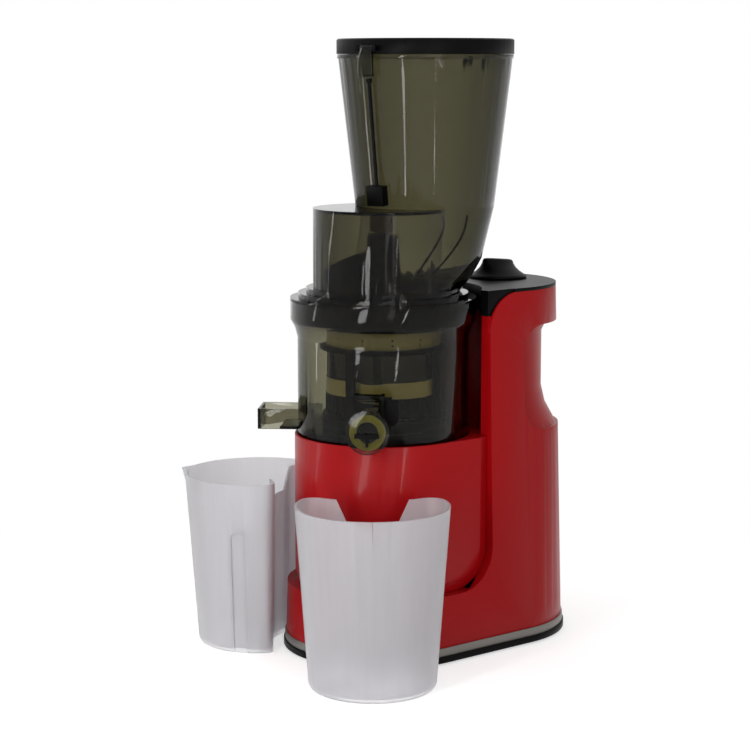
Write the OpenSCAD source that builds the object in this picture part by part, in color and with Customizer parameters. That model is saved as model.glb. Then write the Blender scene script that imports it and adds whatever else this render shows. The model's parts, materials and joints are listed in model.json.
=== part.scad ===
// Vertical cold press juicer with its juice cup and pulp cup.
// Origin: on the bowl axis at the surface it stands on. +Z is up, the juicer's front faces -Y.

/* [Body] */
// Plan radius of the body at the top of the column and round the bowl recess
body_r = 64; // [60:0.5:70]
// Distance from the bowl axis to the centre of the round back
body_len = 82.5; // [76:0.5:95]
// How much wider the rear shell is at its foot than at its top
shell_spread = 7; // [3:0.5:9]
// Wall of the red shells
wall = 2.5; // [2:0.1:3.5]
// Height of the rim that the bowl stands in
rim_z = 158; // [152:0.5:168]
// Height of the column with its cap
column_z = 262.5; // [256:0.5:275]
// Height of the foot's ledge in front of the column
ledge_z = 49; // [42:0.5:58]
// Distance of the column's side panels behind the bowl axis
column_y = 45.5; // [44:0.5:50]
// Radius between ledge and column, seen from the side
ledge_r = 30; // [20:1:40]
// Width of the recessed seam between the red shells
seam_w = 7; // [4:0.5:9]
// Depth of the recessed seam
seam_d = 2.2; // [1:0.1:3]

/* [Base] */
// Height that the rubber feet lift the plate
foot_h = 1.5; // [1:0.1:3]
// Thickness of the base plate
plate_h = 4.5; // [4:0.5:6]
// Height of the silver band
trim_h = 6; // [4:0.5:8]
// How far the base plate stands out past the shell
plate_lip = 2; // [1:0.5:3]

/* [Grip recess] */
// Height of the recess in the back of the column
grip_z = 196; // [192:1:200]
// Height from the recess's lower to its upper edge
grip_h = 77; // [66:1:80]
// Front edge of the recess, behind the bowl axis
grip_y = 78; // [74:0.5:84]
// Radius of the recess's corners, seen from the side
grip_r = 20; // [12:1:26]
// Depth of the recess
grip_d = 12; // [8:0.5:14]

/* [Control knob] */
// Distance of the knob behind the bowl axis
knob_y = 111; // [106:0.5:116]
// Radius of the knob at its foot
knob_r = 21.5; // [18:0.5:24]
// Radius of the knob at its top
knob_top_r = 12.3; // [10:0.1:14]
// Height of the knob
knob_h = 15.2; // [13:0.1:20]

/* [Bowl] */
// Outer radius of the bowl
bowl_r = 61.7; // [58:0.1:62]
// Wall of the bowl
bowl_wall = 2.5; // [2:0.1:3]
// Outer radius of the bowl's collar
collar_r = 66.8; // [65:0.1:68]
// Height of the collar's upper face
collar_z = 254.5; // [250:0.5:260]
// Direction of the juice spout, turned from the front towards +X
spout_turn = 43.5; // [30:0.5:60]
// Direction of the pulp chute, turned from the front towards -X
chute_turn = 43.5; // [30:0.5:60]
// Height of the spout's centre
spout_z = 172; // [171:0.5:174]
// Outer radius of the spout's cap
cap_r = 15.2; // [13:0.1:17]
// Distance of the chute's end from the bowl axis
chute_reach = 89.6; // [80:0.1:100]
// Outer width of the chute
chute_w = 30; // [24:1:34]

/* [Press screw and strainer] */
// Inner radius of the strainer
strainer_r = 38.6; // [36:0.1:40]
// Wall of the strainer
strainer_wall = 2.4; // [2:0.1:3]
// Radial play between press screw and strainer
screw_play = 1; // [0.6:0.1:1.5]
// Radius of the press screw's feeding blade
blade_r = 42; // [36:0.5:44]
// Width across the flats of the drive hexagon
hex_af = 10; // [8:0.1:11]

/* [Hopper] */
// Distance of the hopper behind the bowl axis
hopper_y = 38.8; // [34:0.2:42]
// Radius of the dome and of the hopper's foot
dome_r = 50.3; // [49:0.1:52]
// Height of the dome's roof
dome_z = 320; // [312:0.5:330]
// Radius of the hopper at its rim
hopper_r = 62.9; // [58:0.1:66]
// Height of the hopper's rim
hopper_z = 428; // [400:1:450]
// Wall of dome and hopper
clear_wall = 2.5; // [2:0.1:3]
// Height of the lid's band
lid_h = 11; // [10:0.5:16]
// Turn of hinge and latch about the hopper's axis
lid_turn = 12; // [0:1:20]

/* [Cups] */
// Height of the cups
cup_h = 126; // [110:1:140]
// Radius of the cups' round front at the rim
cup_r = 53; // [48:0.5:58]
// Distance of the cups' back behind their centre
cup_back = 22; // [18:0.5:30]
// Wall of the cups
cup_wall = 1.8; // [1.4:0.1:2.4]
// Size of the cups' floor as a share of the rim
cup_taper = 0.83; // [0.75:0.01:0.95]
// Distance of the juice cup from the bowl axis
juice_cup_out = 105; // [103:1:130]
// Distance of the pulp cup from the bowl axis
pulp_cup_out = 93; // [92:1:130]

/* [Hidden] */
$fn = 96;
e = 0.01;           // overshoot of a cut
gap = 0.3;          // clearance between pieces that come apart
slip = 0.05;        // radial clearance of a shaft in its bush
rest = 0.02;        // clearance of pieces that are fastened together
far = 400;          // larger than the juicer

plate_z = foot_h + plate_h;
trim_z = plate_z + trim_h;
plate_r = body_r + shell_spread + plate_lip;
trim_r = plate_r - 1;
cap_t = 2.5;
shell_z = column_z - cap_t;
arc_r = collar_r + 4.7;         // concave front of the column
apron_z = shell_z - 16;         // lower edge of the cap's apron
apron_x = body_r - 7;           // half width of the apron's opening
// How far the recess's neck stands out near its lower and upper edge, as distance and height
flare_low = [[grip_d, -3], [grip_d - 3, 4], [3, 15], [0, 28]];
flare_high = [[0, -8], [3, -2], [6, 3]];
panel_round = 28;               // rounded upper corner of the side panels
skin_r = body_r - seam_d;       // half width of the skin set back round the panels
cheek_t = 1;                    // thickness of the cap's cheeks on that skin
panel_lift = 0.3;               // how far the corner's circle reaches past the top
panel_end = column_y + panel_round - sqrt(2 * panel_round * panel_lift - pow(panel_lift, 2));
deck_z = rim_z - 8.5;           // underside of the deck round the bowl
recess_z = rim_z - 6;           // step that the bowl stands on
inner_r = body_r - seam_d - wall;
seat_r = inner_r - 1.8;
seat_z = recess_z - 9;          // underside of the bowl seat
seat_floor = 3;
foot_r = bowl_r - 10.2;         // bowl foot in the seat
bowl_z = recess_z + gap;
bowl_floor = rim_z + 4.5;       // upper face of the bowl's floor
ledge_in = bowl_r - bowl_wall;

boss_r = 4.2;
boss_turn = 35;
boss_at = trim_r - 3 - boss_r - 0.2;
screw_r = 1.45;
foot_r_out = 8;
foot_at = plate_r - 14;

motor_r = 38;
motor_z = 26;
motor_h = 48;
stack_z = motor_z + 12;
stack_h = 24;
rotor_r = 19.8;
shaft_r = 4;
damper_at = 30;
damper_h = 6;
case_z = motor_z + motor_h + 4;
case_r = 33;
case_wall = 2.5;
case_h = 30;
cover_h = 4;
tower_r = 12;
tower_h = 20;
gear_m = 1.25;
pinion_n = 12;
wheel_n = 44;
small_n = 14;
output_n = 42;
lay_y = gear_m * (pinion_n + wheel_n) / 2;
lay_r = 3;
wheel_z = case_z + 7;
wheel_h = 8;
small_z = wheel_z + wheel_h + 2;
drive_r = 6;
drive_top = rim_z + 18;
hex_z = recess_z - 2;

board_x = body_r - 18;          // half width of the control board
board_y = 88.1;
board_z = 102;
board_t = 1.6;

wiper_m = 1.5;
sun_n = 14;
drop_in = 15;                   // hole in the bowl's floor that the pulp drops through
drop_out = 25.5;
drop_w = 14;
idler_n = 14;
ring_n = sun_n + 2 * idler_n;
idler_y = wiper_m * (sun_n + idler_n) / 2;
mesh_z = bowl_floor + 2;        // underside of the wiper gears
mesh_h = 7;
cage_in = 43.2;
cage_out = 46;
base_z = mesh_z + mesh_h + 2.5; // underside of the strainer
strainer_out = strainer_r + strainer_wall;
foot_top = base_z + 14;         // black strainer foot meets the amber frame
band_h = 11;
flange_z = collar_z - 14.5;     // strainer flange on the bowl's ledge
cage_top = flange_z - 17.5;
flange_r = collar_r - 4.1;
sieve_in = strainer_r + 0.6;
sieve_wall = 0.6;
screw_out = strainer_r - screw_play;
screw_z = base_z + 3.5;
blade_z = collar_z + 8;
pin_z = dome_z - 20;
pin_r = 5;

spout_r = 11;
spout_bore = 8.5;
spout_end = bowl_r + 20.3;
hinge_at = bowl_r + 8.3;
chute_floor = spout_z - 9;
hinge_z = spout_z + 21;
arm_w = 15.4;
pin_small = 1.5;

channel = [[262, 8.5], [270.5, 17.5], [283, 27]];  // height and offset of the channel's sections
dome_in = dome_r - clear_wall;
throat_y = 14;                  // front edge of the hopper's mouth into the channel
slope = atan((hopper_r - dome_r) / (hopper_z - dome_z));
lid_r = hopper_r + 0.8;
lid_z = hopper_z + gap;
lid_top = hopper_z + lid_h;
hinge_y = lid_r + 2.9;
hinge_lid_z = hopper_z + 3;
latch_y = lid_r + 2.6;
latch_z = hopper_z + 4;
latch_low = hopper_z - 15.5;
rod_r = 1.3;
rod_out = 3;
bracket_z = dome_z + 3;
bracket_h = 14;
rod_len = (latch_low - bracket_z) / cos(slope) - 0.8;

groove_z = 86;                  // where the cups' side grooves round off
groove_turn = 90;
groove_w = 10;
groove_d = 3;
cup_corner_r = 10;
cup_hollow_r = 68;
juice_cup_turn = 51;
pulp_cup_turn = -53;
juice_cup_dir = 47;
pulp_cup_dir = -46.7;

red = [0.69, 0.10, 0.11];
black = [0.09, 0.09, 0.10];
smoke = [0.36, 0.34, 0.28, 0.45];
steel = [0.62, 0.63, 0.65];
amber = [0.62, 0.55, 0.30];
rubber_grey = [0.20, 0.20, 0.21];

// ---- shared forms ----

// Outline of a body with a round front at the origin and a round back at distance len
module stadium(r, len = body_len) {
    circle(r);
    translate([0, len]) circle(r);
    translate([-r, 0]) square([2 * r, len]);
}

// The same outline with upright sides
module prism(r, z0, z1, len = body_len) {
    translate([0, 0, z0]) linear_extrude(z1 - z0) stadium(r, len);
}

// Plan radius of the rear shell at a height
function shell_r(z) = body_r + shell_spread * (shell_z - z) / (shell_z - trim_z);

// The body's outline with a radius that changes with height, through points of radius and height
module upright(points) {
    last = len(points) - 1;
    for (back = [0, 1]) translate([0, back * body_len, 0]) rotate([0, 0, 180 * (1 - back)])
        rotate_extrude(angle = 180) polygon(concat([[0, points[0][1]]], points, [[0, points[last][1]]]));
    translate([0, body_len, 0]) rotate([90, 0, 0]) linear_extrude(body_len)
        polygon(concat(points, [for (i = [last:-1:0]) [-points[i][0], points[i][1]]]));
}

// The rear shell's outline, narrowing upwards, set in by a distance
module tapered(z0, z1, inset = 0) {
    upright([[shell_r(z0) - inset, z0], [shell_r(z1) - inset, z1]]);
}

// A side profile in Y and Z, drawn out across X
module across(w) {
    rotate([90, 0, 90]) translate([0, 0, -w / 2]) linear_extrude(w) children();
}

// Side profile of the space in front of the column and over the ledge
module front_profile(inset = 0) {
    y1 = column_y - inset;
    z1 = ledge_z + inset;
    r = ledge_r - inset;
    translate([-far, z1]) square([far + y1 - r, far]);
    translate([-far, z1 + r]) square([far + y1, far]);
    translate([y1 - r, z1 + r]) circle(r);
}

// Outside of the side panels' rounded upper corner, seen from the side
module corner_profile(grow = 0) {
    translate([column_y + grow, shell_z - panel_round + panel_lift]) difference() {
        translate([-panel_round, 0]) square([2 * panel_round, far]);
        translate([panel_round, 0]) circle(panel_round);
    }
}

// Skin round that corner, set back from the side panels
module corner_skin(grow = 0) {
    difference() {
        across(far) corner_profile(grow);
        prism(skin_r - grow, 0, far);
    }
}

// Cut that leaves a slim neck at the back of the column, flared below and above
module grip(inset = 0) {
    r = grip_r + inset;
    y = grip_y - inset + r;
    z0 = grip_z - grip_h / 2 - inset;
    z1 = grip_z + grip_h / 2 + inset;
    neck = shell_r(grip_z) - grip_d - inset;
    difference() {
        across(far) {
            for (z = [z0 + r, z1 - r]) translate([y, z]) circle(r);
            translate([y - r, z0 + r]) square([far, z1 - z0 - 2 * r]);
            translate([y, z0]) square([far, z1 - z0]);
        }
        upright(concat([for (p = flare_low) [neck + p[0], z0 + p[1]]],
            [for (p = flare_high) [neck + p[0], z1 + p[1]]]));
    }
}

// Turns a piece from the front towards +X
module facing(a) {
    rotate([0, 0, a]) children();
}

// Four places, two on the round front and two on the round back
module four_round(at, turn) {
    for (s = [-1, 1]) {
        translate([s * at * sin(turn), -at * cos(turn), 0]) children();
        translate([s * at * sin(turn), body_len + at * cos(turn), 0]) children();
    }
}

module four_square(at) {
    for (x = [-at, at]) for (y = [-at, at]) translate([x, y, 0]) children();
}

module tube(r_out, r_in, z0, z1) {
    translate([0, 0, z0]) difference() {
        cylinder(r = r_out, h = z1 - z0);
        translate([0, 0, -e]) cylinder(r = r_in, h = z1 - z0 + 2 * e);
    }
}

module disc(r, z0, z1) {
    translate([0, 0, z0]) cylinder(r = r, h = z1 - z0);
}

// ---- involute gears ----

press_angle = 25;
function involute(a) = tan(a) * 180 / PI - a;
function base_r(m, n) = m * n / 2 * cos(press_angle);
// Half the angle that a tooth takes at radius r
function tooth_half(m, n, r, play) = 90 / n - play / (m * n) * 180 / PI
    + involute(press_angle) - involute(acos(min(1, base_r(m, n) / r)));
function flank(m, n, r0, r1, play, steps = 4) = [for (i = [0:steps])
    let(r = r0 + (r1 - r0) * i / steps) [r, tooth_half(m, n, r, play)]];

module gear_2d(m, n, phase, play = 0.12, tip = 1, root = 1.2) {
    r1 = m * (n / 2 + tip);
    r0 = m * (n / 2 - root);
    r2 = max(base_r(m, n), r0);
    side = flank(m, n, r2, r1, play);
    foot = r0 < r2 ? [[r0, side[0][1]]] : [];
    points = [for (k = [0:n - 1]) let(a = phase + k * 360 / n) each concat(
        [for (p = foot) [p[0], a - p[1]]], [for (p = side) [p[0], a - p[1]]],
        [for (i = [len(side) - 1:-1:0]) [side[i][0], a + side[i][1]]],
        [for (p = foot) [p[0], a + p[1]]])];
    polygon([for (p = points) [p[0] * cos(p[1]), p[0] * sin(p[1])]]);
}

// ---- base ----

module base_plate() color(black) difference() {
    union() {
        prism(plate_r, foot_h, plate_z);
        four_square(damper_at) disc(6, plate_z - e, motor_z - damper_h);
    }
    four_round(foot_at, 52) disc(foot_r_out + 0.2, -e, foot_h + 1.5);
    four_round(boss_at, boss_turn) {
        disc(screw_r + 0.15, -e, plate_z + e);
        disc(3.4, -e, foot_h + 2.5);
    }
    for (i = [-3:3]) translate([i * 7 - 1.5, 62, -e]) cube([3, 40, far]);
}

module rubber_feet() color(rubber_grey) four_round(foot_at, 52) {
    disc(foot_r_out, 0.6, foot_h + 1.5);
    disc(foot_r_out - 1, 0, 0.6 + e);
}

module base_screws() color(steel) four_round(boss_at, boss_turn) {
    disc(3, foot_h + 0.7, foot_h + 2.5);
    disc(screw_r, foot_h + 2.5 - e, plate_z + 12);
}

module trim_band() color([0.66, 0.66, 0.62]) difference() {
    prism(trim_r, plate_z, trim_z);
    prism(trim_r - 3, plate_z - e, trim_z + e);
}

// ---- red shells ----

module shell_inside() {
    difference() {
        union() {
            difference() {
                tapered(trim_z - e, shell_z + e, wall);
                across(far) front_profile(-wall);
                corner_skin(wall);
                disc(arc_r + wall, deck_z, far);
            }
            intersection() {
                prism(inner_r - 1, ledge_z - wall - e, deck_z);
                translate([-far / 2, -far / 2, 0]) cube([far, far / 2 + column_y + 15, far]);
            }
            intersection() {
                disc(arc_r + wall + 1, apron_z, far);
                translate([-apron_x, column_y - 8, 0]) cube([2 * apron_x, far, far]);
            }
        }
        grip(wall);
    }
}

module rear_shell() color(red) {
    difference() {
        tapered(trim_z, shell_z);
        grip();
        across(far) front_profile();
        corner_skin();
        disc(arc_r, ledge_z, far);
        shell_inside();
        translate([0, far, 28]) rotate([90, 0, 0]) cylinder(r = 6.05, h = far - body_len);
    }
    difference() {
        four_round(boss_at, boss_turn) {
            disc(boss_r, plate_z, trim_z + e);
            disc(boss_r + 1, trim_z, plate_z + 30);
        }
        four_round(boss_at, boss_turn) disc(screw_r + slip, 0, plate_z + 16);
    }
    intersection() {
        tapered(trim_z, shell_z - 100, wall / 2);
        for (s = [-1, 1]) for (y = [board_y - 2.1, board_y + board_t + 0.1])
            translate([s * (board_x + 10) - 14, y, board_z - 2]) cube([28, 2, 50]);
    }
}

module front_plan(r, y1) {
    circle(r);
    translate([-r, 0]) square([2 * r, y1]);
}

module front_shell() color(red) difference() {
    union() {
        intersection() {
            translate([0, 0, ledge_z]) linear_extrude(rim_z - ledge_z) front_plan(body_r, body_len);
            across(far) front_profile(seam_w);
        }
        intersection() {
            translate([0, 0, ledge_z]) linear_extrude(rim_z - ledge_z)
                front_plan(skin_r, body_len);
            across(far) front_profile(rest);
        }
        intersection() {
            disc(arc_r - gap, deck_z, rim_z);
            translate([-skin_r, 0, 0]) cube([2 * skin_r, far, far]);
        }
    }
    linear_extrude(deck_z) front_plan(inner_r, body_len);
    disc(bowl_r + gap, recess_z, far);
    disc(seat_r + gap, 0, far);
}

// ---- column cap and control ----

module column_cap() color(black) {
    difference() {
        union() {
            intersection() {
                prism(body_r, shell_z, column_z);
                translate([-far / 2, panel_end, 0]) cube([far, far, far]);
            }
            intersection() {
                prism(skin_r + cheek_t, shell_z, column_z);
                translate([-far / 2, column_y - cheek_t, 0]) cube([far, far, far]);
            }
        }
        disc(arc_r - 0.5, shell_z - e, far);
        translate([0, knob_y, 0]) disc(4.5, 0, far);
    }
    intersection() {
        tube(arc_r + wall, arc_r - 0.5, apron_z + gap, shell_z + e);
        translate([-apron_x + gap, column_y - 1, 0]) cube([2 * (apron_x - gap), far, far]);
    }
    // cheeks round the corners of the column's front
    intersection() {
        difference() {
            translate([-skin_r - cheek_t, column_y - cheek_t, apron_z + gap])
                cube([2 * (skin_r + cheek_t), panel_round, shell_z - apron_z]);
            translate([-skin_r - rest, column_y - rest, 0]) cube([2 * (skin_r + rest), far, far]);
            disc(arc_r - 0.5, 0, far);
        }
        across(far) corner_profile(-rest);
    }
}

module rotary_switch() color(rubber_grey) translate([0, knob_y, 0]) difference() {
    union() {
        disc(13, shell_z - 18, shell_z - 4);
        disc(7, shell_z - 4 - e, shell_z);
        for (a = [0:60:300]) rotate([0, 0, a]) translate([9, -1.5, shell_z - 24]) cube([0.8, 3, 6 + e]);
    }
    disc(lay_r + slip, shell_z - 10, far);
}

module switch_spindle() color(steel) translate([0, knob_y, 0]) difference() {
    disc(lay_r, shell_z - 9.5, column_z + 9);
    translate([1.8, -5, column_z]) cube([5, 10, 20]);
}

module control_knob() color(black) translate([0, knob_y, column_z + gap]) difference() {
    union() {
        disc(knob_r, 0, 2);
        steps = 4;
        for (i = [0:steps - 1]) {
            r = knob_r - 1 - (knob_r - 1 - knob_top_r) * i / steps;
            z = 2 + (knob_h - 4.5) * i / steps;
            translate([0, 0, z - e]) cylinder(r1 = r, r2 = r - (knob_r - knob_top_r) / steps + 0.6,
                h = (knob_h - 4.5) / steps + e);
        }
        disc(knob_top_r, knob_h - 4, knob_h);
    }
    disc(lay_r + rest, -e, 9 - gap + 0.2);
    // finger hollows either side of the grip bar
    for (s = [-1, 1]) translate([s * 15, 0, knob_h + 5]) rotate([90, 0, 0])
        cylinder(r = 10, h = far, center = true);
}

module control_board() color([0.10, 0.35, 0.20]) {
    translate([-board_x, board_y, board_z]) cube([2 * board_x, board_t, 46]);
    for (x = [-28, 0, 22]) translate([x, board_y + board_t - e, board_z + 10]) cube([14, 9, 16]);
}

module cord_inlet() color(black) translate([0, 0, 28]) rotate([-90, 0, 0]) difference() {
    back = body_len + shell_r(28);
    union() {
        disc(6, back - 6, back + 0.5);
        disc(8.5, back + 0.4, plate_r + body_len - 0.1);
    }
    disc(3.5, back - 2, far);
}

// ---- drive ----

module bowl_seat() color(black) difference() {
    union() {
        disc(inner_r - gap, seat_z, deck_z - rest);
        disc(seat_r, deck_z - rest - e, recess_z);
    }
    difference() {
        disc(foot_r + 0.5, seat_z + seat_floor, far);
        for (a = [0, 120, 240]) rotate([0, 0, a + 30]) translate([foot_r - 1.8, -4, 0])
            cube([3, 8, recess_z - 2]);
    }
    disc(9 + rest, 0, far);
}

module shaft_seal() color(rubber_grey) tube(9, drive_r + 0.1, seat_z - 1, seat_z + seat_floor);

module lock_switch() color(rubber_grey) translate([-10, -48, seat_z - 9]) {
    cube([20, 10, 9]);
    for (x = [3, 9.5, 16]) translate([x, 4.5, -4]) cube([1, 1, 4 + e]);
}

module case_outline(r) {
    stadium(r, lay_y);
}

module gearbox_case() color([0.72, 0.72, 0.70]) difference() {
    union() {
        prism(case_r, case_z, case_z + case_h, lay_y);
        four_square(21) disc(4, case_z - 4, case_z + e);
        for (s = [-1, 1]) for (y = [0, lay_y]) translate([s * (case_r + 1), y, 0])
            disc(4, case_z + case_h - 12, case_z + case_h);
    }
    prism(case_r - case_wall, case_z + case_wall, far, lay_y);
    disc(shaft_r + 3 + rest, 0, far);
    translate([0, lay_y, 0]) disc(lay_r + 2.5 + rest, 0, far);
    for (s = [-1, 1]) for (y = [0, lay_y]) translate([s * (case_r + 1), y, 0])
        disc(screw_r + slip, case_z + case_h - 9, far);
}

module gearbox_cover() color([0.72, 0.72, 0.70]) difference() {
    z = case_z + case_h;
    union() {
        prism(case_r, z, z + cover_h, lay_y);
        disc(tower_r, z, z + cover_h + tower_h);
        for (s = [-1, 1]) for (y = [0, lay_y]) translate([s * (case_r + 1), y, 0])
            disc(4, z, z + cover_h);
    }
    disc(drive_r + 3 + rest, 0, far);
    translate([0, lay_y, 0]) disc(lay_r + 2.5 + rest, 0, far);
    for (s = [-1, 1]) for (y = [0, lay_y]) translate([s * (case_r + 1), y, 0])
        disc(screw_r + slip, 0, far);
}

module gearbox_screws() color(steel) for (s = [-1, 1]) for (y = [0, lay_y])
    translate([s * (case_r + 1), y, case_z + case_h]) {
        disc(screw_r, -8, cover_h + e);
        disc(2.8, cover_h, cover_h + 1.8);
    }

module shaft_bushes() color([0.75, 0.58, 0.30]) {
    for (z = [motor_z, motor_z + motor_h - 3]) tube(shaft_r + 3, shaft_r + slip, z, z + 3);
    tube(shaft_r + 3, shaft_r + slip, case_z, case_z + case_wall);
    for (z = [case_z, case_z + case_h]) translate([0, lay_y, 0])
        tube(lay_r + 2.5, lay_r + slip, z, z + (z == case_z ? case_wall : cover_h));
    z = case_z + case_h;
    for (z1 = [z, z + cover_h + tower_h - 8]) tube(drive_r + 3, drive_r + slip, z1, z1 + 8);
}

module motor_stator() color([0.50, 0.50, 0.52]) difference() {
    disc(motor_r - 1.5, stack_z, stack_z + stack_h);
    disc(rotor_r + 0.5, 0, far);
    for (a = [0:45:315]) rotate([0, 0, a]) translate([rotor_r + 3, -3.5, 0]) cube([8, 7, far]);
}

module motor_coils() color([0.72, 0.38, 0.18]) {
    tube(31, rotor_r + 3.5, stack_z - 7, stack_z);
    tube(31, rotor_r + 3.5, stack_z + stack_h, stack_z + stack_h + 6);
    for (a = [0:45:315]) rotate([0, 0, a]) translate([rotor_r + 3.7, -3.2, stack_z - e])
        cube([7, 6.4, stack_h + 2 * e]);
}

module motor_frame() color(steel) difference() {
    union() {
        for (z = [motor_z, motor_z + motor_h - 3]) disc(motor_r, z, z + 3);
        four_square(damper_at) disc(6, motor_z, motor_z + 3);
        for (a = [0:90:270]) rotate([0, 0, a]) {
            translate([34, 0, 0]) disc(2.4, motor_z, stack_z);
            translate([34, 0, 0]) disc(2.4, stack_z + stack_h, motor_z + motor_h);
        }
    }
    disc(shaft_r + 3 + rest, 0, far);
    for (a = [0:45:315]) rotate([0, 0, a + 22.5]) translate([20, 0, 0]) disc(4.5, 0, far);
}

module motor_dampers() color(rubber_grey) four_square(damper_at) disc(5.5, motor_z - damper_h, motor_z);

module motor_shaft() color(steel) disc(shaft_r, motor_z - 11, wheel_z + wheel_h + 1);

module rotor_core() color([0.45, 0.45, 0.47]) difference() {
    disc(rotor_r, stack_z, stack_z + stack_h);
    disc(shaft_r + rest, 0, far);
    for (a = [0:30:330]) rotate([0, 0, a]) translate([rotor_r - 3, 0, 0]) disc(1.2, 0, far);
}

module cooling_fan() color(black) difference() {
    union() {
        disc(8, motor_z - 10, motor_z - 2.5);
        disc(30, motor_z - 10, motor_z - 9);
        for (a = [0:40:320]) rotate([0, 0, a]) translate([7, -0.6, motor_z - 9 - e]) cube([22.5, 1.2, 6]);
    }
    disc(shaft_r + rest, 0, far);
}

module motor_pinion() color(steel) difference() {
    translate([0, 0, wheel_z - 1]) linear_extrude(wheel_h + 1.5) gear_2d(gear_m, pinion_n, 90);
    disc(shaft_r + rest, 0, far);
}

module layshaft() color(steel) translate([0, lay_y, 0]) disc(lay_r, case_z + 0.5, case_z + case_h + cover_h - 0.5);

module layshaft_gear() color([0.86, 0.85, 0.80]) translate([0, lay_y, 0]) difference() {
    union() {
        translate([0, 0, wheel_z]) linear_extrude(wheel_h) difference() {
            gear_2d(gear_m, wheel_n, 270 - 180 / wheel_n);
            for (a = [0:60:300]) rotate([0, 0, a]) translate([17, 0]) circle(5);
        }
        translate([0, 0, wheel_z + wheel_h - e]) linear_extrude(12.5) gear_2d(gear_m, small_n, -90);
        disc(6, case_z + case_wall + 0.3, wheel_z + e);
    }
    disc(lay_r + rest, 0, far);
}

module output_gear() color([0.86, 0.85, 0.80]) difference() {
    union() {
        translate([0, 0, small_z]) linear_extrude(wheel_h) difference() {
            gear_2d(gear_m, output_n, 90 - 180 / output_n);
            for (a = [0:60:300]) rotate([0, 0, a + 30]) translate([17, 0]) circle(4.5);
        }
        disc(10, small_z + wheel_h - e, case_z + case_h - 0.3);
    }
    disc(drive_r + rest, 0, far);
}

module hexagon(af) {
    circle(r = af / 2 / cos(30), $fn = 6);
}

module drive_shaft() color(steel) {
    disc(drive_r, small_z + 0.3, hex_z);
    translate([0, 0, hex_z - e]) linear_extrude(drive_top - hex_z) hexagon(hex_af);
}

// ---- bowl set ----

// Pulp passage under the bowl's floor, from the drop hole out to the wall
module pulp_passage(w, z0, z1, r0, r1) {
    facing(-chute_turn) translate([-w / 2, -r1, z0]) cube([w, r1 - r0, z1 - z0]);
}

module juice_bowl() color(smoke) {
    difference() {
        union() {
            disc(bowl_r, bowl_z, flange_z - 12);
            translate([0, 0, flange_z - 12 - e]) cylinder(r1 = bowl_r, r2 = bowl_r + 2.3, h = 8);
            translate([0, 0, flange_z - 4 - e]) cylinder(r1 = bowl_r + 2.3, r2 = collar_r, h = 5);
            disc(collar_r, flange_z + 1 - e, collar_z);
            disc(foot_r, seat_z + seat_floor + gap, bowl_z + e);
        }
        disc(ledge_in, bowl_floor, far);
        disc(flange_r + gap, flange_z, far);
        disc(foot_r - 3, seat_z, rim_z + 2);
        facing(spout_turn) translate([0, 0, spout_z]) rotate([90, 0, 0]) disc(spout_bore, 40, far);
        pulp_passage(chute_w - 6, chute_floor, bowl_floor + 11, 50, bowl_r + 2);
        pulp_passage(chute_w - 6, bowl_floor - 5, bowl_floor + 1, 50, ledge_in - 1);
        // the passage's way out through the floor
        pulp_passage(drop_w, seat_z, far / 2, drop_in, drop_out);
        disc(10 - e, 0, far);
        for (a = [0, 120, 240]) rotate([0, 0, a + 30]) translate([foot_r - 3, -5, 0])
            cube([6, 10, recess_z - 0.5]);
    }
    tube(10, 6.9, seat_z + seat_floor + gap, bowl_floor + 1.5);
    // pin of the wiper idler
    translate([0, idler_y, 0]) disc(3, bowl_floor - e, mesh_z + mesh_h + 1);
    // walls of the pulp passage, below and above the floor
    difference() {
        union() {
            pulp_passage(24, seat_z + seat_floor + gap + 1, rim_z + 2 + e, drop_in - 2, foot_r - 2);
            pulp_passage(drop_w + 4, bowl_floor - e, base_z - 0.6, drop_in - 2, drop_out + 1.8);
        }
        pulp_passage(drop_w, 0, far, drop_in, drop_out);
        pulp_passage(20, seat_z + seat_floor + 3, bowl_floor - 2.5, drop_in, foot_r - 3.6);
        pulp_passage(chute_w - 6, bowl_floor - 5, bowl_floor + 1, 50, ledge_in - 1);
        disc(10, 0, far);
    }
}

// Hood over the pulp passage's rise inside the bowl's wall
module pulp_duct() color(smoke) difference() {
    intersection() {
        pulp_passage(chute_w - 2, bowl_floor + rest, bowl_floor + 13, 48, bowl_r);
        disc(ledge_in - rest, 0, far);
    }
    pulp_passage(chute_w - 6, 0, bowl_floor + 11, 50, bowl_r + 2);
}

module spout_ears() {
    for (s = [-1, 1]) translate([s * 9.1 - 1.1, 0, 0]) rotate([90, 0, 90]) linear_extrude(2.2) {
        translate([-hinge_at, hinge_z]) circle(4);
        translate([-hinge_at - 4, spout_z + 4]) square([hinge_at + 4 - bowl_r + 2, hinge_z - spout_z - 4]);
    }
}

module bowl_spout() color(smoke) facing(spout_turn) difference() {
    union() {
        translate([0, 0, spout_z]) rotate([90, 0, 0]) disc(spout_r, bowl_r - 4, spout_end);
        spout_ears();
    }
    disc(bowl_r + rest, 0, far);
    translate([0, 0, spout_z]) rotate([90, 0, 0]) disc(spout_bore, bowl_r - 10, far);
    translate([0, -hinge_at, hinge_z]) rotate([0, 90, 0])
        cylinder(r = pin_small + slip, h = 60, center = true);
}

// Open tray that lets the pulp fall through its end
module pulp_chute() color(smoke) facing(-chute_turn) difference() {
    translate([-chute_w / 2, -chute_reach, chute_floor - 2]) cube([chute_w, chute_reach - bowl_r + 4, 15]);
    disc(bowl_r + rest, 0, far);
    translate([2 - chute_w / 2, -chute_reach + 2, chute_floor]) cube([chute_w - 4, chute_reach, far]);
    translate([2 - chute_w / 2, -chute_reach + 2, 0]) cube([chute_w - 4, 14, far]);
}

module bowl_seal() color(rubber_grey) tube(6.88, hex_af / 2 / cos(30) + 0.15, bowl_floor - 6, bowl_floor + 1.5);

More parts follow.
